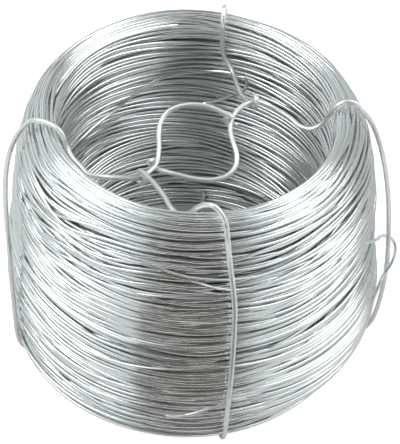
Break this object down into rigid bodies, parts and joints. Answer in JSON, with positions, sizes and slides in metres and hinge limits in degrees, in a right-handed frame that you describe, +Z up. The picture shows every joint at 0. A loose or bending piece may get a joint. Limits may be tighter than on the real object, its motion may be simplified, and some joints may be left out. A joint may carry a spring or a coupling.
{
  "type": "coil of galvanized tie wire",
  "caption": "Hollow round coil of thin galvanized steel wire, standing on its end, held by short bent wire ties that hook together in the mouth of its bore.",
  "frame": {"origin": "centre of the standing end, on the floor: the coil rests on the undersides of its ties there", "axes": "+Z up along the coil's axis, -Y towards the front tie, +X towards the right tie and the loose outer tail"},
  "size_m": [0.1055, 0.1025, 0.0797],
  "materials": {
    "zinc_wire": "bright drawn zinc coating, slightly cool grey, fine draw lines along the wire",
    "tie_wire": "duller hot-dip zinc coating, a little rough, bare grey steel at the cut ends"
  },
  "bodies": {
    "root": {"winding": "zinc_wire", "tie_front": "tie_wire", "tie_left": "tie_wire", "tie_back": "tie_wire", "tie_right": "tie_wire"}
  },
  "joints": []
}
